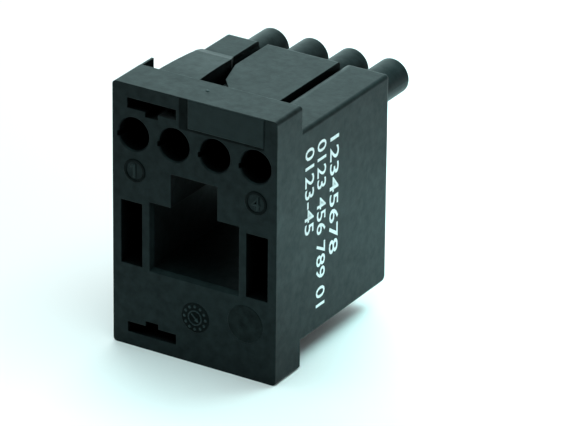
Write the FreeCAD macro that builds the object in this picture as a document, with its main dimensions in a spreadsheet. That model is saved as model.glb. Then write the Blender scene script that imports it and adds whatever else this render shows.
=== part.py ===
import FreeCAD, Part
import os
import re
import Sketcher

# Heavy duty connector insert: one moulded housing that takes a data plug and four crimp contacts.
# Sizes are in millimetres. Every sub-part is drawn with x across the mating face from its middle,
# y running back from the mating face and z up from the foot of the flange.

SIZES = {
    # Flange and body of the housing
    "flange_depth": 5.55,
    "flange_corner": 0.5,
    "step_bottom": 3.55,
    "step_top": 3.27,
    "side_cover": 2.98,
    "contact_cover": 3.1,
    "body_depth": 20.0,
    "body_edge": 0.5,
    "body_foot_edge": 0.8,
    # Contact chambers and the sleeves behind them
    "contact_pitch": 5.66,
    "contact_drop": 3.9,
    "mouth_dia": 4.2,
    "mouth_chamfer": 0.15,
    "mouth_depth": 12.0,
    "throat_dia": 3.1,
    "throat_depth": 4.0,
    "chamber_dia": 3.5,
    "notch_height": 0.65,
    "notch_drop": 0.35,
    "notch_reach": 0.22,
    "notch_depth": 3.0,
    "sleeve_dia": 4.58,
    "sleeve_length": 6.05,
    "sleeve_chamfer": 0.3,
    # Opening for the data plug
    "plug_width": 12.0,
    "plug_height": 8.75,
    "tab_width": 6.5,
    "tab_height": 4.4,
    "lead_side": 0.3,
    "lead_bottom": 0.36,
    "lead_depth": 0.65,
    # Guide slots beside the opening
    "guide_rib": 1.3,
    "guide_wall": 1.17,
    "guide_drop": 0.1,
    "guide_height": 8.3,
    "guide_depth": 16.0,
    # Coding windows through the flange, above and below the body
    "window_from_left": 5.52,
    "window_width": 6.85,
    "window_height": 1.32,
    "window_inset": 2.43,
    "lobe_width": 1.8,
    "lobe_reach": 0.65,
    # Locking lugs and the ears that close their gap
    "lug_gap": 2.95,
    "lug_front_side": 0.34,
    "lug_back_side": 0.47,
    "lug_front_rise": 1.07,
    "lug_back_rise": 0.55,
    "lug_crown_radius": 90.0,
    "lug_length": 9.35,
    "lug_tail": 1.85,
    "lug_root": 0.6,
    "lug_edge": 0.35,
    "ear_thickness": 0.32,
    "ear_drop": 0.3,
    # Relief between the first two chambers, measured from halfway between them
    "relief_lip_side": 1.32,
    "relief_waist_side": 0.64,
    "relief_far_side": 0.16,
    "relief_lip": 0.6,
    "relief_slope": 1.6,
    "relief_depth": 5.4,
    "pocket_bend_side": 3.01,
    "pocket_bend_gap": 6.15,
    "pocket_neck_side": 1.51,
    "pocket_neck_gap": 7.95,
    "pocket_end_gap": 12.15,
    "chamber_skin_dia": 5.7,
    # Relief between the last two chambers, measured from halfway between them
    "slit_side": 1.11,
    "slit_width": 0.5,
    "slit_depth": 1.5,
    "shoulder_radius": 1.6,
    "shoulder_reach": 1.4,
    # Hollows at the back of the foot, which keep the moulding's walls even
    "core_width": 8.6,
    "core_rib": 1.4,
    "core_height": 4.3,
    "core_depth": 13.0,
    "foot_wall": 1.6,
    "core_cover": 1.47,
    # Crimp contact
    "socket_setback": 6.0,
    "socket_dia": 2.6,
    "socket_bore": 1.6,
    "socket_bore_depth": 5.0,
    "socket_slit": 0.25,
    "socket_slit_length": 2.0,
    "neck_setback": 8.3,
    "neck_dia": 2.2,
    "contact_clearance": 0.05,
    "collar_length": 1.2,
    "barrel_dia": 3.2,
    "barrel_length": 9.8,
    "wire_bore": 2.2,
    "wire_bore_depth": 7.0,
    "sight_hole": 0.8,
    "contact_chamfer": 0.2,
    # Retaining clip on the contact's neck
    "clip_gap": 0.02,
    "clip_wall": 0.15,
    "clip_length": 1.3,
    "clip_reach_dia": 3.75,
    "clip_split": 0.5,
    "clip_cut": 0.8,
}

CONTACT_COUNT = 4

doc = FreeCAD.newDocument("connector_insert")
sheet = doc.addObject("Spreadsheet::Sheet", "Sizes")
for row, (size_name, size_value) in enumerate(SIZES.items(), start=1):
    sheet.set("A" + str(row), size_name)
    sheet.set("B" + str(row), str(size_value))
    sheet.setAlias("B" + str(row), size_name)
doc.recompute()


def bound(text):
    """Returns an expression whose size names point into the spreadsheet."""
    return re.sub("[a-z_]+", lambda found: "Sizes." + found[0] if found[0] in SIZES else found[0], text)


# Places that several features share, as expressions of the sizes. The housing is stacked up from its
# foot: hollows, plug opening, its tab, contact row, cover. Its width follows the contact row.
HALF_WIDTH = "(contact_pitch * " + str((CONTACT_COUNT - 1) / 2) + " + side_cover)"
LEFT = "(0 - " + HALF_WIDTH + ")"
REAR = "(flange_depth + body_depth)"
TOTAL_DEPTH = "(flange_depth + body_depth + sleeve_length)"
CORE_FOOT = "(step_bottom + foot_wall)"
CORE_TOP = "(" + CORE_FOOT + " + core_height)"
PLUG_FOOT = "(" + CORE_TOP + " + core_cover)"
PLUG_TOP = "(" + PLUG_FOOT + " + plug_height)"
TAB_TOP = "(" + PLUG_TOP + " + tab_height)"
CONTACT_Z = "(" + TAB_TOP + " + contact_drop)"
BODY_TOP = "(" + CONTACT_Z + " + contact_cover)"
FLANGE_TOP = "(" + BODY_TOP + " + step_top)"
LUG_FACE = "(flange_depth + lug_gap)"
LUG_BACK = "(flange_depth + lug_gap + lug_length)"
LUG_END = "(flange_depth + lug_gap + lug_length + lug_tail)"
CONTACT_X = ["(contact_pitch * (" + str(index) + " - " + str((CONTACT_COUNT - 1) / 2) + "))"
             for index in range(CONTACT_COUNT)]
FIRST_GAP = "(" + CONTACT_X[0] + " + contact_pitch / 2)"
LAST_GAP = "(" + CONTACT_X[-2] + " + contact_pitch / 2)"


class Builder:
    """Adds sketches and features to one body and checks that each one changes its volume."""

    def __init__(self, name):
        self.body = doc.addObject("PartDesign::Body", name)
        self.body.Label = name
        self.volume = 0.0

    def value(self, text):
        return float(self.body.evalExpression(bound(text)))

    def sketch(self, name, role, offset="0"):
        plane = [item for item in self.body.Origin.OriginFeatures if item.Role == role][0]
        sketch = self.body.newObject("Sketcher::SketchObject", name + "_sketch")
        sketch.AttachmentSupport = [(plane, "")]
        sketch.MapMode = "FlatFace"
        sketch.setExpression("AttachmentOffset.Base.z", bound(offset))
        return sketch

    def pin(self, sketch, kind, geometry, point, text):
        here = sketch.addConstraint(Sketcher.Constraint(kind, -1, 1, geometry, point, self.value(text)))
        sketch.setExpression("Constraints[" + str(here) + "]", bound(text))

    def outline(self, name, role, points, offset="0", arcs=None):
        """A closed outline through the points. arcs gives an edge's radius and the side it bulges to."""
        arcs = arcs or {}
        sketch = self.sketch(name, role, offset)
        self.add_loop(sketch, points, arcs)
        return sketch

    def add_loop(self, sketch, points, arcs):
        first = sketch.GeometryCount
        corners = [FreeCAD.Vector(self.value(across), self.value(up), 0) for across, up in points]
        count = len(corners)
        for edge in range(count):
            start = corners[edge]
            end = corners[(edge + 1) % count]
            if edge in arcs:
                radius, side = arcs[edge]
                chord = end - start
                sagitta = self.value(radius) - (self.value(radius) ** 2 - (chord.Length / 2) ** 2) ** 0.5
                outward = FreeCAD.Vector(-chord.y, chord.x, 0).normalize() * sagitta * side
                middle = (start + end) / 2 + outward
                sketch.addGeometry(Part.Arc(start, middle, end))
            else:
                sketch.addGeometry(Part.LineSegment(start, end))
        for edge in range(count):
            here = first + edge
            following = first + (edge + 1) % count
            here_end = self.end_of(sketch, here, corners[(edge + 1) % count])
            next_start = self.end_of(sketch, following, corners[(edge + 1) % count])
            sketch.addConstraint(Sketcher.Constraint("Coincident", here, here_end, following, next_start))
        for edge, (across, up) in enumerate(points):
            start = self.end_of(sketch, first + edge, corners[edge])
            self.pin(sketch, "DistanceX", first + edge, start, across)
            self.pin(sketch, "DistanceY", first + edge, start, up)
        for edge in arcs:
            radius = arcs[edge][0]
            here = sketch.addConstraint(Sketcher.Constraint("Radius", first + edge, self.value(radius)))
            sketch.setExpression("Constraints[" + str(here) + "]", bound(radius))

    def end_of(self, sketch, geometry, corner):
        """The number of the end of an edge that lies on a corner: an arc may run the other way."""
        start = sketch.getPoint(geometry, 1)
        end = sketch.getPoint(geometry, 2)
        return 1 if start.distanceToPoint(corner) < end.distanceToPoint(corner) else 2

    def rectangles(self, name, role, boxes, offset="0"):
        sketch = self.sketch(name, role, offset)
        for left, right, low, high in boxes:
            self.add_loop(sketch, [(left, low), (right, low), (right, high), (left, high)], {})
        return sketch

    def circles(self, name, role, centres, diameter, offset="0"):
        sketch = self.sketch(name, role, offset)
        for across, up in centres:
            centre = FreeCAD.Vector(self.value(across), self.value(up), 0)
            circle = Part.Circle(centre, FreeCAD.Vector(0, 0, 1), self.value(diameter) / 2)
            here = sketch.addGeometry(circle)
            self.pin(sketch, "DistanceX", here, 3, across)
            self.pin(sketch, "DistanceY", here, 3, up)
            size = sketch.addConstraint(Sketcher.Constraint("Diameter", here, self.value(diameter)))
            sketch.setExpression("Constraints[" + str(size) + "]", bound(diameter))
        return sketch

    def feature(self, kind, name, sketch, grows, settings, expressions):
        """Adds a feature and stops if it leaves the body's volume as it was."""
        item = self.body.newObject("PartDesign::" + kind, name)
        if sketch is not None:
            item.Profile = sketch
        for key, setting in settings.items():
            setattr(item, key, setting)
        for key, text in expressions.items():
            item.setExpression(key, bound(text))
        doc.recompute()
        volume = self.body.Shape.Volume
        if (volume > self.volume) != grows or abs(volume - self.volume) < 1e-4:
            raise RuntimeError(name + " changed the volume from " + str(self.volume) + " to " + str(volume))
        self.volume = volume
        return item

    def pad(self, name, sketch, length, turned=False):
        return self.feature("Pad", name, sketch, True, {"Reversed": turned}, {"Length": length})

    def pocket(self, name, sketch, length, turned=False):
        return self.feature("Pocket", name, sketch, False, {"Reversed": turned}, {"Length": length})

    def revolve(self, name, sketch, axis):
        settings = {"ReferenceAxis": (sketch, [axis]), "Angle": 360.0}
        return self.feature("Revolution", name, sketch, True, settings, {})

    def edge_feature(self, kind, name, size, wanted, grows=False):
        """Rounds or bevels the edges of the newest shape that pass a test of their middle and box."""
        base = self.body.Tip
        names = []
        for number, edge in enumerate(base.Shape.Edges, start=1):
            middle = edge.CenterOfMass
            if wanted(edge, middle):
                names.append("Edge" + str(number))
        if not names:
            raise RuntimeError(name + " found no edge")
        radius = {"Radius": size} if kind == "Fillet" else {"Size": size}
        return self.feature(kind, name, None, grows, {"Base": (base, names)}, radius)


def near(value, target):
    return abs(value - target) < 0.01


def make_housing():
    housing = Builder("insert_housing")
    value = housing.value
    right = value(HALF_WIDTH)
    rear = value(REAR)
    body_top = value(BODY_TOP)
    body_foot = value("step_bottom")
    contact_centres = [(across, CONTACT_Z) for across in CONTACT_X]

    flange = housing.rectangles("flange", "XZ_Plane", [(LEFT, HALF_WIDTH, "0", FLANGE_TOP)])
    housing.pad("flange", flange, "flange_depth", turned=True)
    housing.edge_feature("Fillet", "flange_corners", "flange_corner",
                         lambda edge, middle: near(edge.BoundBox.YLength, value("flange_depth")))

    body = housing.rectangles("body", "XZ_Plane", [(LEFT, HALF_WIDTH, "step_bottom", BODY_TOP)],
                              "0 - flange_depth")
    housing.pad("body", body, "body_depth", turned=True)

    housing.edge_feature("Fillet", "body_foot_edges", "body_foot_edge",
                         lambda edge, middle: near(middle.y, rear) and near(middle.z, body_foot))
    housing.edge_feature("Fillet", "body_rear_edges", "body_edge",
                         lambda edge, middle: near(middle.y, rear) and near(abs(middle.x), right)
                         and edge.BoundBox.ZLength > 1)
    housing.edge_feature("Fillet", "body_top_edge", "body_edge",
                         lambda edge, middle: near(middle.x, right) and near(middle.z, body_top)
                         and edge.BoundBox.YLength > 1)

    add_lugs(housing)
    add_reliefs(housing)

    sleeves = housing.circles("sleeves", "XZ_Plane", contact_centres, "sleeve_dia", "0 - " + REAR)
    housing.pad("sleeves", sleeves, "sleeve_length", turned=True)
    housing.edge_feature("Chamfer", "sleeve_ends", "sleeve_chamfer",
                         lambda edge, middle: near(middle.y, value(TOTAL_DEPTH)))

    mouths = housing.circles("mouths", "XZ_Plane", contact_centres, "mouth_dia")
    housing.pocket("mouths", mouths, "mouth_depth")
    housing.edge_feature("Chamfer", "mouth_edges", "mouth_chamfer",
                         lambda edge, middle: near(middle.y, 0) and near(middle.z, value(CONTACT_Z)))
    throats = housing.circles("throats", "XZ_Plane", contact_centres, "throat_dia", "0 - mouth_depth")
    housing.pocket("throats", throats, "throat_depth")
    chambers = housing.circles("chambers", "XZ_Plane", contact_centres, "chamber_dia",
                               "0 - (mouth_depth + throat_depth)")
    housing.pocket("chambers", chambers, TOTAL_DEPTH + " - mouth_depth - throat_depth")
    notch_middle = CONTACT_Z + " - notch_drop"
    notches = housing.rectangles("notches", "XZ_Plane", [
        (across + " - mouth_dia / 2 - notch_reach", across,
         notch_middle + " - notch_height / 2", notch_middle + " + notch_height / 2")
        for across in CONTACT_X])
    housing.pocket("notches", notches, "notch_depth")

    add_plug_opening(housing)
    inner = "plug_width / 2 + guide_rib"
    outer = HALF_WIDTH + " - guide_wall"
    guide_foot = PLUG_FOOT + " - guide_drop"
    guide_top = guide_foot + " + guide_height"
    guides = housing.rectangles("guides", "XZ_Plane", [
        ("0 - (" + outer + ")", "0 - (" + inner + ")", guide_foot, guide_top),
        (inner, outer, guide_foot, guide_top)])
    housing.pocket("guides", guides, "guide_depth")

    cores = housing.rectangles("cores", "XZ_Plane", [
        ("0 - core_rib / 2 - core_width", "0 - core_rib / 2", CORE_FOOT, CORE_TOP),
        ("core_rib / 2", "core_rib / 2 + core_width", CORE_FOOT, CORE_TOP)], "0 - " + REAR)
    housing.pocket("cores", cores, "core_depth", turned=True)
    return housing


def add_lugs(housing):
    """The lug, the ear and the coding window at each end of the housing."""
    value = housing.value
    ends = {"top": (BODY_TOP, "1", FLANGE_TOP), "bottom": ("step_bottom", "(0 - 1)", "0")}
    window_left = LEFT + " + window_from_left - window_width / 2"
    window_right = LEFT + " + window_from_left + window_width / 2"
    lobe_left = LEFT + " + window_from_left - lobe_width / 2"
    lobe_right = LEFT + " + window_from_left + lobe_width / 2"
    for end, (seat, up, outer) in ends.items():
        is_top = end == "top"
        plan = housing.outline(end + "_lug", "XY_Plane", [
            (LEFT, LUG_FACE),
            (FIRST_GAP + " + lug_front_side", LUG_FACE),
            (FIRST_GAP + " - lug_back_side", LUG_BACK),
            (FIRST_GAP + " - relief_lip_side", LUG_END),
            (LEFT, LUG_END)], seat + " - " + up + " * lug_root")
        housing.pad(end + "_lug", plan, "lug_front_rise + lug_root", turned=not is_top)
        clear = seat + " + " + up + " * (lug_front_rise + 1)"
        crown = housing.outline(end + "_crown", "YZ_Plane", [
            (LUG_FACE, seat + " + " + up + " * lug_front_rise"),
            (LUG_BACK, seat + " + " + up + " * lug_back_rise"),
            (LUG_END, seat),
            (LUG_END, clear),
            (LUG_FACE, clear)], LEFT, {0: ("lug_crown_radius", 1 if is_top else -1)})
        housing.pocket(end + "_crown", crown, "side_cover + contact_pitch / 2 + lug_front_side",
                       turned=True)
        foot, crest = sorted((value(seat), value(clear)))
        housing.edge_feature("Fillet", end + "_lug_edge", "lug_edge",
                             lambda edge, middle: near(middle.x, value(LEFT)) and foot < middle.z < crest
                             and value(LUG_FACE) < middle.y < value(LUG_BACK)
                             and edge.BoundBox.YLength > 1)
        ear_end = outer + " - " + up + " * ear_drop"
        low, high = (seat, ear_end) if is_top else (ear_end, seat)
        ear = housing.rectangles(end + "_ear", "XZ_Plane", [
            (LEFT, LEFT + " + ear_thickness", low, high)], "0 - flange_depth")
        housing.pad(end + "_ear", ear, "lug_gap", turned=True)
        middle = outer + " - " + up + " * window_inset"
        far = middle + " + " + up + " * window_height / 2"
        near_side = middle + " - " + up + " * window_height / 2"
        lobe = near_side + " - " + up + " * lobe_reach"
        window = housing.outline(end + "_window", "XZ_Plane", [
            (window_left, far), (window_right, far), (window_right, near_side), (lobe_right, near_side),
            (lobe_right, lobe), (lobe_left, lobe), (lobe_left, near_side), (window_left, near_side)])
        housing.pocket(end + "_window", window, "flange_depth + lug_gap")


def add_reliefs(housing):
    """The two reliefs that part the outer chambers from the middle pair, open at the top and rear."""
    lip = BODY_TOP + " - relief_lip"
    waist = lip + " - relief_slope"
    floor = BODY_TOP + " - relief_depth"
    clear = BODY_TOP + " + 1"
    lip_side = FIRST_GAP + " - relief_lip_side"
    waist_side = FIRST_GAP + " - relief_waist_side"
    far_side = FIRST_GAP + " + relief_far_side"
    groove = housing.outline("relief", "XZ_Plane", [
        (lip_side, clear), (lip_side, lip), (waist_side, waist), (waist_side, floor),
        (far_side, floor), (far_side, clear)], "0 - " + REAR)
    housing.pocket("relief", groove, REAR + " - " + LUG_END, turned=True)

    # The wide front of the relief, beside the lug, with the second chamber's round skin in it
    bend_side = FIRST_GAP + " + pocket_bend_side"
    front = housing.outline("relief_front", "XY_Plane", [
        (FIRST_GAP + " + lug_front_side", "flange_depth"),
        (bend_side, "flange_depth"),
        (bend_side, "flange_depth + pocket_bend_gap"),
        (FIRST_GAP + " + pocket_neck_side", "flange_depth + pocket_neck_gap"),
        (far_side, "flange_depth + pocket_end_gap"),
        (far_side, LUG_END),
        (lip_side, LUG_END),
        (FIRST_GAP + " - lug_back_side", LUG_BACK),
        (FIRST_GAP + " + lug_front_side", LUG_FACE)], FLANGE_TOP)
    housing.pocket("relief_front", front, "step_top + relief_depth")
    skin = housing.circles("chamber_skin", "XZ_Plane", [(CONTACT_X[1], CONTACT_Z)],
                           "chamber_skin_dia", "0 - flange_depth")
    housing.pad("chamber_skin", skin, "lug_gap + lug_length", turned=True)

    slit_left = LAST_GAP + " - slit_side"
    slit_right = slit_left + " + slit_width"
    shoulder_foot = BODY_TOP + " - shoulder_radius + sqrt(shoulder_radius ^ 2 - shoulder_reach ^ 2)"
    slit = housing.outline("slit", "XZ_Plane", [
        (slit_left, clear),
        (slit_left, BODY_TOP + " - slit_depth"),
        (slit_right, BODY_TOP + " - slit_depth"),
        (slit_right, shoulder_foot),
        (slit_right + " + shoulder_reach", BODY_TOP),
        (slit_right + " + shoulder_reach", clear)], "0 - " + REAR, {3: ("shoulder_radius", 1)})
    housing.pocket("slit", slit, "body_depth", turned=True)


def add_plug_opening(housing):
    """The stepped opening for the data plug, right through, with a lead-in on three sides."""
    half = "plug_width / 2"
    half_tab = "tab_width / 2"
    opening = housing.outline("plug_opening", "XZ_Plane", [
        ("0 - " + half, PLUG_FOOT), (half, PLUG_FOOT), (half, PLUG_TOP), (half_tab, PLUG_TOP),
        (half_tab, TAB_TOP), ("0 - " + half_tab, TAB_TOP), ("0 - " + half_tab, PLUG_TOP),
        ("0 - " + half, PLUG_TOP)])
    housing.pocket("plug_opening", opening, REAR)
    mouth = housing.rectangles("lead_in_mouth", "XZ_Plane", [
        ("0 - " + half + " - lead_side", half + " + lead_side", PLUG_FOOT + " - lead_bottom", PLUG_TOP)])
    throat = housing.rectangles("lead_in_throat", "XZ_Plane", [
        ("0 - " + half, half, PLUG_FOOT, PLUG_TOP)], "0 - lead_depth")
    housing.feature("SubtractiveLoft", "lead_in", mouth, False, {"Sections": [throat]}, {})


def make_contact(number):
    """A turned crimp contact: slit socket, neck for its clip, body, collar and crimp barrel."""
    contact = Builder("contact_" + str(number))
    body_dia = "(throat_dia - 2 * contact_clearance)"
    collar_dia = "(chamber_dia - 2 * contact_clearance)"
    neck_end = "(mouth_depth + contact_clearance)"
    seat = "(mouth_depth + throat_depth + contact_clearance)"
    collar_end = "(mouth_depth + throat_depth + contact_clearance + collar_length)"
    barrel_end = "(mouth_depth + throat_depth + contact_clearance + collar_length + barrel_length)"
    profile = contact.outline("turned", "XY_Plane", [
        ("socket_bore / 2", "socket_setback + contact_chamfer"),
        ("socket_bore / 2 + contact_chamfer", "socket_setback"),
        ("socket_dia / 2 - contact_chamfer", "socket_setback"),
        ("socket_dia / 2", "socket_setback + contact_chamfer"),
        ("socket_dia / 2", "neck_setback"),
        ("neck_dia / 2", "neck_setback"),
        ("neck_dia / 2", neck_end),
        (body_dia + " / 2", neck_end),
        (body_dia + " / 2", seat),
        (collar_dia + " / 2", seat),
        (collar_dia + " / 2", collar_end),
        ("barrel_dia / 2", collar_end),
        ("barrel_dia / 2", barrel_end),
        ("wire_bore / 2", barrel_end),
        ("wire_bore / 2", barrel_end + " - wire_bore_depth"),
        ("0", barrel_end + " - wire_bore_depth"),
        ("0", "socket_setback + socket_bore_depth"),
        ("socket_bore / 2", "socket_setback + socket_bore_depth")])
    contact.revolve("turned", profile, "V_Axis")
    slits = contact.rectangles("slits", "XZ_Plane", [
        ("0 - socket_dia", "socket_dia", "0 - socket_slit / 2", "socket_slit / 2")], "0 - socket_setback")
    contact.pocket("slits", slits, "socket_slit_length")
    cross = contact.rectangles("cross_slits", "XZ_Plane", [
        ("0 - socket_slit / 2", "socket_slit / 2", "0 - socket_dia", "socket_dia")], "0 - socket_setback")
    contact.pocket("cross_slits", cross, "socket_slit_length")
    sight = contact.circles("sight_hole", "XY_Plane",
                            [("0", barrel_end + " - wire_bore_depth + sight_hole")], "sight_hole")
    contact.pocket("sight_hole", sight, "barrel_dia", turned=True)
    return contact


def make_clip(number):
    """A spring clip rolled round the contact's neck, with three tongues that hold it in its chamber."""
    clip = Builder("retaining_clip_" + str(number))
    inner = "(neck_dia / 2 + clip_gap)"
    outer = "(neck_dia / 2 + clip_gap + clip_wall)"
    start = "(neck_setback + contact_clearance)"
    band_end = "(neck_setback + contact_clearance + clip_length)"
    tip = "(mouth_depth - contact_clearance)"
    profile = clip.outline("rolled", "XY_Plane", [
        (inner, start),
        (outer, start),
        (outer, band_end),
        ("clip_reach_dia / 2", tip),
        ("clip_reach_dia / 2 - clip_wall", tip),
        (inner, band_end)])
    clip.revolve("rolled", profile, "V_Axis")
    split = clip.rectangles("split", "XZ_Plane", [
        ("0 - clip_split / 2", "clip_split / 2", "0", "clip_reach_dia")], "0 - " + start)
    clip.pocket("split", split, "mouth_depth - neck_setback")
    for name, turn in {"left_cut": 120, "right_cut": 240}.items():
        cut = clip.rectangles(name, "XZ_Plane", [
            ("0 - clip_cut / 2", "clip_cut / 2", "0", "clip_reach_dia")], "0 - " + band_end)
        cut.AttachmentOffset = FreeCAD.Placement(cut.AttachmentOffset.Base,
                                                 FreeCAD.Rotation(FreeCAD.Vector(0, 0, 1), turn))
        clip.pocket(name, cut, "mouth_depth - neck_setback")
    return clip


def place(builder, across, up):
    """Puts a sub-part on its axis, with the whole insert centred over its foot."""
    for axis, text in {"x": across, "y": "0 - " + TOTAL_DEPTH + " / 2", "z": up}.items():
        builder.body.setExpression("Placement.Base." + axis, bound(text))


insert_parts = [make_housing()]
place(insert_parts[0], "0", "0")
for number, across in enumerate(CONTACT_X, start=1):
    for maker in (make_contact, make_clip):
        insert_parts.append(maker(number))
        place(insert_parts[-1], across, CONTACT_Z)

doc.recompute()
for item in doc.Objects:
    if "Invalid" in item.State or "Error" in item.State:
        raise RuntimeError(item.Name + " failed")

os.makedirs("parts", exist_ok=True)
for part in insert_parts:
    shape = part.body.Shape
    if shape.isNull() or not shape.isValid() or len(shape.Solids) != 1:
        raise RuntimeError(part.body.Label + " isn't one valid solid")
    shape.exportStep(os.path.join("parts", part.body.Label + ".step"))
    print(part.body.Label, round(shape.Volume, 3), len(shape.Faces), shape.BoundBox)
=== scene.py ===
import math

import bmesh
import bpy
from mathutils import Matrix, Vector


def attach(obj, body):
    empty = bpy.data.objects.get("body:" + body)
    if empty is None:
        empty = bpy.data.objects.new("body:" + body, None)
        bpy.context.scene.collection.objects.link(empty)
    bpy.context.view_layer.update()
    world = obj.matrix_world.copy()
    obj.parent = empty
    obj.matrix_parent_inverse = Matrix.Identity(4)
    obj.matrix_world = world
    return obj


# The looks of a heavy duty connector insert: its moulded plastic, its raised marks and its print.

MM = 0.001

# The camera stands where the photograph was taken from
CAMERA_PLACE = Vector((307.16, -496.49, 290.30)) * MM
CAMERA_FORWARD = Vector((-0.4728, 0.7701, -0.4283))
CAMERA_UP = Vector((-0.2322, 0.3601, 0.9036))
CAMERA_LENS = 343.2
CAMERA_SHIFT = -0.0008
CAMERA_SENSOR = 36.0

# Textures of the plastic: noise scales per metre, and depths and reaches in metres
GLOSS_TINT = (0.62, 1.0, 1.0, 1.0)
MOTTLE_SCALE = 900.0
CLOUD_SCALE = 260.0
GRAIN_SCALE = 7000.0
SWELL = {"strength": 0.35, "depth": 0.00006}
GRAIN_DEPTH = 0.00002
EDGE_RADIUS = 0.00012
GLOSS_LEVEL = 0.5
# Painted shade: ambient occlusion within this reach darkens the plastic's colour and gloss in recesses,
# slots and openings
PAINTED_RECESS_SHADE = {"reach": 0.012, "darkest": 0.24, "open": 0.74}

# Kinds of plastic: dark and light colour, smooth and rough, gloss index, grain, mottling. Two are copies
# of the housing's plastic with painted light: a lighter, glossier one for painted highlights and a darker
# one for painted shade.
PLASTICS = {
    "moulded_plastic": ((0.0042, 0.0060, 0.0064), (0.0068, 0.0098, 0.0104), 0.39, 0.44, 1.205, 0.3, 0.1),
    "smooth_plastic": ((0.006, 0.009, 0.0095), (0.008, 0.012, 0.0125), 0.34, 0.4, 1.25, 0.15, 0.03),
    # Painted highlight: a lighter, glossier copy of the housing's plastic, for the clock's dots, ring and
    # arrow and for the gate pip
    "painted_highlight_plastic": ((0.010, 0.015, 0.016), (0.015, 0.022, 0.023), 0.34, 0.4, 1.30, 0.15, 0.05),
    "dull_plastic": ((0.002, 0.003, 0.003), (0.006, 0.009, 0.009), 0.42, 0.5, 1.18, 0.6, 0.12),
    # Painted shade: a darker, duller copy of the housing's plastic, for the number rings, the clock's
    # field and the border of the raised field
    "painted_shade_plastic": ((0.001, 0.0015, 0.0015), (0.003, 0.0045, 0.0045), 0.45, 0.55, 1.14, 0.5, 0.1),
}

# Colours and roughness of the metals, with the scale of their tool marks
SILVER_PLATE = ((0.80, 0.78, 0.73), 0.30, 4000.0)
SPRING_STEEL = ((0.58, 0.58, 0.60), 0.36, 6000.0)

FLOOR_SIZE = 4.0
FLOOR_COLOUR = (0.95, 0.85, 0.85, 1)
WORLD_COLOUR = (0.85, 1, 1, 1)
WORLD_STRENGTH = 0.21

# Soft boxes: place, target, size, power and tint
BOX_TINT = (0.78, 1.0, 1.0)
SOFT_BOXES = {
    "overhead": ((0.0, 0.06, 0.60), (0, 0, 0), 0.8, 4.6, BOX_TINT),
    "rear_left": ((-0.24, 0.40, 0.23), (0, 0, 0.02), 0.5, 1.72, (0.71, 1.0, 1.0)),
    "rear_right": ((0.21, 0.38, 0.26), (0, 0, 0.02), 0.35, 0.34, BOX_TINT),
}

# Small lights low over the floor: place, target and power
LOW_TINT = (0.44, 1.0, 1.0)
LOW_SIZE = 0.03
LOW_SPREAD = 85
LOW_LIGHTS = {
    "floor_right": ((0.040, 0.034, 0.065), (0.036, 0.025, 0), 0.0185),
    "floor_rear": ((-0.012, 0.078, 0.065), (-0.012, 0.070, 0), 0.010),
    "floor_front": ((-0.004, -0.040, 0.050), (-0.004, -0.046, 0), 0.004),
}

# Faces of the housing, as turns whose third axis points out of the face
MATING_FACE = Matrix(((1, 0, 0), (0, 0, -1), (0, 1, 0)))
RIGHT_SIDE = Matrix(((0, 0, 1), (0, 1, 0), (-1, 0, 0)))
TOP_FACE = Matrix(((1, 0, 0), (0, 1, 0), (0, 0, 1)))
MATING_Y = -15.8
RIGHT_X = 11.47
FLANGE_TOP = 34.34

# Raised marks, in millimetres
SINK = 0.02
MARK_EDGE = 0.03
NUMBER_RINGS = {"1": (-8.35, 23.27), "4": (8.6, 23.32)}
NUMBER_RING = {"outer": 1.5, "inner": 1.14, "rise": 0.1}
NUMBER_HEIGHT = 1.75
NUMBER_WIDTHS = {"1": 0.36, "4": 1.2}
NUMBER_WEIGHT = 0.01
ONE_FLAG = [(-0.16, 0.87), (-0.56, 0.58), (-0.56, 0.30), (-0.16, 0.55)]
CLOCK_PLACE = (0.2, 6.1)
CLOCK_FIELD = {"radius": 1.95, "rise": 0.04}
CLOCK_RING = {"outer": 0.98, "inner": 0.83}
CLOCK_DOTS = {"count": 12, "ring": 1.48, "radius": 0.18}
CLOCK_ARROW = {"tail": -0.72, "neck": 0.2, "tip": 0.74, "half_bar": 0.09, "half_head": 0.3, "turn": -45}
CLOCK_RISE = 0.12
DISC_PLACE = (7.2, 7.15)
DISC = {"radius": 2.43, "rise": 0.04}
PATCH = {"left": -0.85, "right": 9.65, "low": 30.62, "high": 34.30, "rise": 0.14, "edge": 0.06}
# Painted shade: a darker border strip left of and below the raised field, standing in for the shade of
# its step
PAINTED_SHADE_BORDER = {"left": 1.3, "low": 0.36, "rise": 0.02}
GATE_PLACE = (-0.24, -12.47)
GATE = {"radius": 0.26, "rise": 0.09, "edge": 0.08}

# Printed lines on the right side: words, middle along y, height of the letters, highest and lowest z
PRINT_LINES = [
    ("12345678", -2.88, 2.0, 27.80, 12.40),
    ("0123 456 789 01", -5.75, 2.0, 28.37, 6.57),
    ("0123-45", -8.48, 2.0, 28.33, 17.10),
]
PRINT_THICKNESS = 0.012
PRINT_WEIGHT = 0.008

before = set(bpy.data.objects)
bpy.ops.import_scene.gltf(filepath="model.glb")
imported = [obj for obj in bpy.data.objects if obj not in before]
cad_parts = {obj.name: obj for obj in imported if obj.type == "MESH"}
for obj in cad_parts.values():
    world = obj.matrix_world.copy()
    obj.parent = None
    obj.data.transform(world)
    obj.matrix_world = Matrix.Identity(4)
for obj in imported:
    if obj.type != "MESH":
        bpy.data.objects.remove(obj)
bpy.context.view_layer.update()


def new_material(name):
    """A new material, its node tree and its shader."""
    material = bpy.data.materials.new(name)
    material.use_nodes = True
    tree = material.node_tree
    return material, tree, tree.nodes["Principled BSDF"]


def add_node(tree, kind, **settings):
    """A shader node, its settings given by the names of its properties or inputs."""
    node = tree.nodes.new(kind)
    for key, setting in settings.items():
        if hasattr(node, key):
            setattr(node, key, setting)
        else:
            node.inputs[key].default_value = setting
    return node


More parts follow.
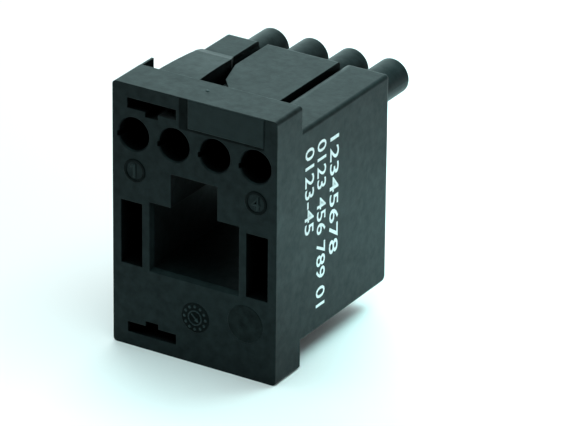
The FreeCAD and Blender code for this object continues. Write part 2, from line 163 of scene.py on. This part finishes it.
def ramp(tree, source, low, high, dark, light):
    """A colour ramp over a texture's value."""
    node = tree.nodes.new("ShaderNodeValToRGB")
    node.color_ramp.elements[0].position = low
    node.color_ramp.elements[0].color = (*dark, 1)
    node.color_ramp.elements[1].position = high
    node.color_ramp.elements[1].color = (*light, 1)
    tree.links.new(source, node.inputs["Fac"])
    return node.outputs["Color"]


def spread(tree, source, low, high, least=0.0, most=1.0):
    """Spreads a value's stretch from low to high over another stretch."""
    node = tree.nodes.new("ShaderNodeMapRange")
    node.inputs["From Min"].default_value = low
    node.inputs["From Max"].default_value = high
    node.inputs["To Min"].default_value = least
    node.inputs["To Max"].default_value = most
    tree.links.new(source, node.inputs["Value"])
    return node.outputs["Result"]


def bump(tree, source, strength, depth, beneath=None):
    """A relief from a texture's value, over the relief beneath it if there is one."""
    node = add_node(tree, "ShaderNodeBump", Strength=strength, Distance=depth)
    tree.links.new(source, node.inputs["Height"])
    if beneath:
        tree.links.new(beneath, node.inputs["Normal"])
    return node.outputs["Normal"]


def plastic(name, dark, light, smooth, rough, gloss_index, grain, mottling):
    """Matt glass-filled plastic: mottled, with a fine spark-eroded grain, and painted shade that darkens
    its colour and gloss in recesses.
    """
    material, tree, shader = new_material(name)
    shader.inputs["Specular Tint"].default_value = GLOSS_TINT
    link = tree.links.new
    place = tree.nodes.new("ShaderNodeTexCoord").outputs["Object"]
    mottle = add_node(tree, "ShaderNodeTexNoise", Scale=MOTTLE_SCALE, Detail=4.0, Roughness=0.6)
    cloud = add_node(tree, "ShaderNodeTexNoise", Scale=CLOUD_SCALE, Detail=3.0, Roughness=0.5)
    fine = add_node(tree, "ShaderNodeTexNoise", Scale=GRAIN_SCALE, Detail=2.0, Roughness=0.5)
    for texture in (mottle, cloud, fine):
        link(place, texture.inputs["Vector"])
    link(spread(tree, cloud.outputs["Fac"], 0.35, 0.65, smooth, rough), shader.inputs["Roughness"])
    shader.inputs["IOR"].default_value = gloss_index
    # Painted shade: colour and gloss grow darker where the surface is hemmed in
    open_sky = add_node(tree, "ShaderNodeAmbientOcclusion", samples=6, only_local=True,
                        Distance=PAINTED_RECESS_SHADE["reach"])
    painted_recess_shade = spread(tree, open_sky.outputs["AO"], PAINTED_RECESS_SHADE["darkest"], PAINTED_RECESS_SHADE["open"])
    shade = add_node(tree, "ShaderNodeVectorMath", operation="SCALE")
    link(ramp(tree, mottle.outputs["Fac"], 0.32, 0.68, dark, light), shade.inputs[0])
    link(painted_recess_shade, shade.inputs["Scale"])
    link(shade.outputs["Vector"], shader.inputs["Base Color"])
    patchy = spread(tree, mottle.outputs["Fac"], 0.3, 0.7, GLOSS_LEVEL - mottling, GLOSS_LEVEL + mottling)
    gloss = add_node(tree, "ShaderNodeMath", operation="MULTIPLY")
    link(painted_recess_shade, gloss.inputs[0])
    link(patchy, gloss.inputs[1])
    link(gloss.outputs["Value"], shader.inputs["Specular IOR Level"])
    edge = add_node(tree, "ShaderNodeBevel", samples=4, Radius=EDGE_RADIUS)
    swell = bump(tree, mottle.outputs["Fac"], SWELL["strength"], SWELL["depth"], edge.outputs["Normal"])
    link(bump(tree, fine.outputs["Fac"], grain, GRAIN_DEPTH, swell), shader.inputs["Normal"])
    return material


def metal(name, colour, roughness, grain_scale):
    """Bright metal with faint tool marks."""
    material, tree, shader = new_material(name)
    shader.inputs["Base Color"].default_value = (*colour, 1)
    shader.inputs["Metallic"].default_value = 1.0
    shader.inputs["Roughness"].default_value = roughness
    place = tree.nodes.new("ShaderNodeTexCoord").outputs["Object"]
    marks = add_node(tree, "ShaderNodeTexNoise", Scale=grain_scale, Detail=2.0)
    tree.links.new(place, marks.inputs["Vector"])
    tree.links.new(bump(tree, marks.outputs["Fac"], 0.2, 0.00001), shader.inputs["Normal"])
    return material


def print_ink():
    """Pad-printed white ink, a little thin where the plastic's grain shows through."""
    material, tree, shader = new_material("print_ink")
    place = tree.nodes.new("ShaderNodeTexCoord").outputs["Object"]
    wear = add_node(tree, "ShaderNodeTexNoise", Scale=5000.0, Detail=3.0)
    tree.links.new(place, wear.inputs["Vector"])
    shade = ramp(tree, wear.outputs["Fac"], 0.25, 0.5, (0.62, 0.70, 0.72), (0.86, 0.92, 0.93))
    tree.links.new(shade, shader.inputs["Base Color"])
    shader.inputs["Roughness"].default_value = 0.7
    return material


def floor_paper():
    """Matt pale paper without any gloss."""
    material, tree, shader = new_material("floor_paper")
    shader.inputs["Base Color"].default_value = FLOOR_COLOUR
    shader.inputs["Roughness"].default_value = 1.0
    shader.inputs["Specular IOR Level"].default_value = 0.0
    return material


def assign(thing, material):
    thing.data.materials.clear()
    thing.data.materials.append(material)


def at(face, x, y, z):
    """The place on a face of the housing whose middle is at x, y, z in millimetres."""
    return Matrix.Translation(Vector((x, y, z)) * MM) @ face.to_4x4()


def on_mating_face(place):
    return at(MATING_FACE, place[0], MATING_Y, place[1])


def add_loop(shape, place, points, height):
    return [shape.verts.new(place @ (Vector((x, y, height)) * MM)) for x, y in points]


def join_loops(shape, lower, upper):
    count = len(lower)
    for step in range(count):
        following = (step + 1) % count
        shape.faces.new((lower[step], lower[following], upper[following], upper[step]))


def circle(radius, segments=64, middle=(0, 0)):
    return [(middle[0] + radius * math.cos(2 * math.pi * step / segments),
             middle[1] + radius * math.sin(2 * math.pi * step / segments)) for step in range(segments)]


def rectangle(left, right, low, high):
    return [(left, low), (right, low), (right, high), (left, high)]


def add_raised(shape, place, foot, crest, rise, edge):
    """A raised field with a bevelled rim, its foot sunk a little into the plastic."""
    loops = [add_loop(shape, place, foot, -SINK), add_loop(shape, place, foot, rise - edge),
             add_loop(shape, place, crest, rise)]
    join_loops(shape, loops[0], loops[1])
    join_loops(shape, loops[1], loops[2])
    shape.faces.new(loops[2])
    shape.faces.new(list(reversed(loops[0])))


def add_ring(shape, place, outer, inner, rise, edge):
    """A raised ring with both its rims bevelled."""
    profile = [(outer, -SINK), (outer, rise - edge), (outer - edge, rise),
               (inner + edge, rise), (inner, rise - edge), (inner, -SINK)]
    loops = [add_loop(shape, place, circle(radius), height) for radius, height in profile]
    for lower, upper in zip(loops, loops[1:] + loops[:1]):
        join_loops(shape, lower, upper)


def add_piece(name, shape, material):
    """Turns a shape into a piece that rides on the insert."""
    mesh = bpy.data.meshes.new(name)
    bmesh.ops.recalc_face_normals(shape, faces=shape.faces)
    shape.to_mesh(mesh)
    shape.free()
    piece = bpy.data.objects.new(name, mesh)
    bpy.context.scene.collection.objects.link(piece)
    assign(piece, material)
    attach(piece, "root")


def add_words(shape, place, words, length, height, rise, weight):
    """Adds plain numbers to a shape, fitted to a length and height and centred on a place."""
    curve = bpy.data.curves.new("numbers", "FONT")
    curve.body = words
    curve.extrude = 0.5
    curve.offset = weight
    curve.resolution_u = 3
    carrier = bpy.data.objects.new("numbers", curve)
    bpy.context.scene.collection.objects.link(carrier)
    bpy.context.view_layer.update()
    mesh = bpy.data.meshes.new_from_object(carrier.evaluated_get(bpy.context.evaluated_depsgraph_get()))
    across = [corner.co.x for corner in mesh.vertices]
    up = [corner.co.y for corner in mesh.vertices]
    stretch_x = length / (max(across) - min(across))
    stretch_y = height / (max(up) - min(up))
    middle_x = (max(across) + min(across)) / 2
    middle_y = (max(up) + min(up)) / 2
    for corner in mesh.vertices:
        level = rise if corner.co.z > 0 else -SINK
        flat = Vector(((corner.co.x - middle_x) * stretch_x, (corner.co.y - middle_y) * stretch_y, level))
        corner.co = place @ (flat * MM)
    shape.from_mesh(mesh)
    bpy.data.objects.remove(carrier)
    bpy.data.curves.remove(curve)
    bpy.data.meshes.remove(mesh)


def add_number_marks(shade_ring_material, number_material):
    """The contact numbers in their rings, at both ends of the contact row; the rings are painted shade.
    """
    for words, place in NUMBER_RINGS.items():
        shape = bmesh.new()
        here = on_mating_face(place)
        add_ring(shape, here, NUMBER_RING["outer"], NUMBER_RING["inner"], NUMBER_RING["rise"], MARK_EDGE)
        add_piece("number_ring_" + words, shape, shade_ring_material)
        shape = bmesh.new()
        add_words(shape, here, words, NUMBER_WIDTHS[words], NUMBER_HEIGHT, NUMBER_RING["rise"],
                  NUMBER_WEIGHT)
        if words == "1":
            add_raised(shape, here, ONE_FLAG, ONE_FLAG, NUMBER_RING["rise"], 0)
        add_piece("number_" + words, shape, number_material)


def add_mould_clock(shade_field_material, material):
    """The mould's date mark: a round field with a dot for each month, a ring and an arrow; the field is
    painted shade and the dots, ring and arrow a painted highlight.
    """
    here = on_mating_face(CLOCK_PLACE)
    shape = bmesh.new()
    radius = CLOCK_FIELD["radius"]
    add_raised(shape, here, circle(radius), circle(radius - MARK_EDGE), CLOCK_FIELD["rise"], MARK_EDGE)
    add_piece("clock_field", shape, shade_field_material)
    shape = bmesh.new()
    add_ring(shape, here, CLOCK_RING["outer"], CLOCK_RING["inner"], CLOCK_RISE, MARK_EDGE)
    for month in range(CLOCK_DOTS["count"]):
        angle = 2 * math.pi * month / CLOCK_DOTS["count"]
        middle = (CLOCK_DOTS["ring"] * math.cos(angle), CLOCK_DOTS["ring"] * math.sin(angle))
        foot = circle(CLOCK_DOTS["radius"], 16, middle)
        crest = circle(CLOCK_DOTS["radius"] - MARK_EDGE, 16, middle)
        add_raised(shape, here, foot, crest, CLOCK_RISE, MARK_EDGE)
    turned = here @ Matrix.Rotation(math.radians(CLOCK_ARROW["turn"]), 4, "Z")
    neck = CLOCK_ARROW["neck"]
    half_bar = CLOCK_ARROW["half_bar"]
    half_head = CLOCK_ARROW["half_head"]
    bar = rectangle(CLOCK_ARROW["tail"], neck, -half_bar, half_bar)
    add_raised(shape, turned, bar, bar, CLOCK_RISE, 0)
    head = [(neck, -half_head), (CLOCK_ARROW["tip"], 0.0), (neck, half_head)]
    add_raised(shape, turned, head, head, CLOCK_RISE, 0)
    add_piece("mould_clock", shape, material)


def add_round_field(material):
    """A bare round field, where the moulding carries a mark."""
    shape = bmesh.new()
    here = on_mating_face(DISC_PLACE)
    crest = circle(DISC["radius"] - MARK_EDGE)
    add_raised(shape, here, circle(DISC["radius"]), crest, DISC["rise"], MARK_EDGE)
    add_piece("round_field", shape, material)


def add_patch(material, shade_border_material):
    """The raised bare field at the upper right of the mating face, with a border of painted shade below
    it and at its left.
    """
    left = PATCH["left"] - PAINTED_SHADE_BORDER["left"]
    low = PATCH["low"] - PAINTED_SHADE_BORDER["low"]
    shade_border = rectangle(left, PATCH["right"], low, PATCH["high"])
    shape = bmesh.new()
    add_raised(shape, on_mating_face((0, 0)), shade_border, shade_border, PAINTED_SHADE_BORDER["rise"], 0)
    add_piece("painted_shade_border", shape, shade_border_material)
    shape = bmesh.new()
    middle = ((PATCH["left"] + PATCH["right"]) / 2, (PATCH["low"] + PATCH["high"]) / 2)
    half_width = (PATCH["right"] - PATCH["left"]) / 2
    half_height = (PATCH["high"] - PATCH["low"]) / 2
    edge = PATCH["edge"]
    foot = rectangle(-half_width, half_width, -half_height, half_height)
    crest = rectangle(edge - half_width, half_width - edge, edge - half_height, half_height - edge)
    add_raised(shape, on_mating_face(middle), foot, crest, PATCH["rise"], edge)
    add_piece("raised_field", shape, material)


def add_gate_mark(material):
    """The small pip that the mould's gate leaves on the flange's top."""
    shape = bmesh.new()
    here = at(TOP_FACE, GATE_PLACE[0], GATE_PLACE[1], FLANGE_TOP)
    foot = circle(GATE["radius"], 16)
    crest = circle(GATE["radius"] / 2, 16)
    add_raised(shape, here, foot, crest, GATE["rise"], GATE["edge"])
    add_piece("gate_mark", shape, material)


def add_print(material):
    """Three lines of plain numbers that run down the right side."""
    for number, (words, across, height, top, foot) in enumerate(PRINT_LINES, start=1):
        shape = bmesh.new()
        here = at(RIGHT_SIDE, RIGHT_X, across, (top + foot) / 2)
        add_words(shape, here, words, top - foot, height, PRINT_THICKNESS, PRINT_WEIGHT)
        add_piece("print_line_" + str(number), shape, material)


def add_camera():
    """The camera at the photograph's place, angle and field of view."""
    data = bpy.data.cameras.new("camera")
    data.lens = CAMERA_LENS
    data.sensor_width = CAMERA_SENSOR
    data.sensor_fit = "HORIZONTAL"
    data.shift_x = CAMERA_SHIFT
    data.clip_start = 0.01
    data.clip_end = 20.0
    camera = bpy.data.objects.new("camera", data)
    bpy.context.scene.collection.objects.link(camera)
    back = -CAMERA_FORWARD.normalized()
    right = CAMERA_UP.cross(back).normalized()
    up = back.cross(right)
    turn = Matrix((right, up, back)).transposed()
    camera.matrix_world = Matrix.Translation(CAMERA_PLACE) @ turn.to_4x4()
    bpy.context.scene.camera = camera


def add_floor():
    """A plain floor at the level of the flange's foot."""
    mesh = bpy.data.meshes.new("floor")
    half = FLOOR_SIZE / 2
    corners = [(-half, -half, 0), (half, -half, 0), (half, half, 0), (-half, half, 0)]
    mesh.from_pydata(corners, [], [(0, 1, 2, 3)])
    floor = bpy.data.objects.new("floor", mesh)
    bpy.context.scene.collection.objects.link(floor)
    assign(floor, floor_paper())


def add_area_light(name, place, target, size, power, colour):
    data = bpy.data.lights.new(name, "AREA")
    data.shape = "SQUARE"
    data.size = size
    data.energy = power
    data.color = colour
    light = bpy.data.objects.new(name, data)
    bpy.context.scene.collection.objects.link(light)
    light.location = place
    light.rotation_euler = (Vector(target) - Vector(place)).to_track_quat("-Z", "Y").to_euler()
    return light


def add_lights():
    """Soft boxes overhead and behind on both sides, and small lights that brighten the floor."""
    world = bpy.data.worlds.new("studio")
    bpy.context.scene.world = world
    world.use_nodes = True
    background = world.node_tree.nodes["Background"]
    background.inputs["Color"].default_value = WORLD_COLOUR
    background.inputs["Strength"].default_value = WORLD_STRENGTH
    for name, (place, target, size, power, tint) in SOFT_BOXES.items():
        add_area_light(name, place, target, size, power, tint)
    for name, (place, target, power) in LOW_LIGHTS.items():
        low_light = add_area_light(name, place, target, LOW_SIZE, power, LOW_TINT)
        low_light.data.spread = math.radians(LOW_SPREAD)


plastics = {name: plastic(name, *finish) for name, finish in PLASTICS.items()}
finishes = {
    "insert_housing": plastics["moulded_plastic"],
    "contact": metal("silver_plate", *SILVER_PLATE),
    "retaining_clip": metal("spring_steel", *SPRING_STEEL),
}
for name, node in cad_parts.items():
    assign(node, finishes[name.rstrip("0123456789").rstrip("_")])

# The number rings, the clock's field and the raised field's border get painted shade; the clock's dots,
# ring and arrow and the gate pip get a painted highlight
add_number_marks(plastics["painted_shade_plastic"], plastics["smooth_plastic"])
add_mould_clock(plastics["painted_shade_plastic"], plastics["painted_highlight_plastic"])
add_round_field(plastics["dull_plastic"])
add_patch(plastics["smooth_plastic"], plastics["painted_shade_plastic"])
add_gate_mark(plastics["painted_highlight_plastic"])
add_print(print_ink())
add_camera()
add_floor()
add_lights()
bpy.context.scene.view_settings.view_transform = "Standard"
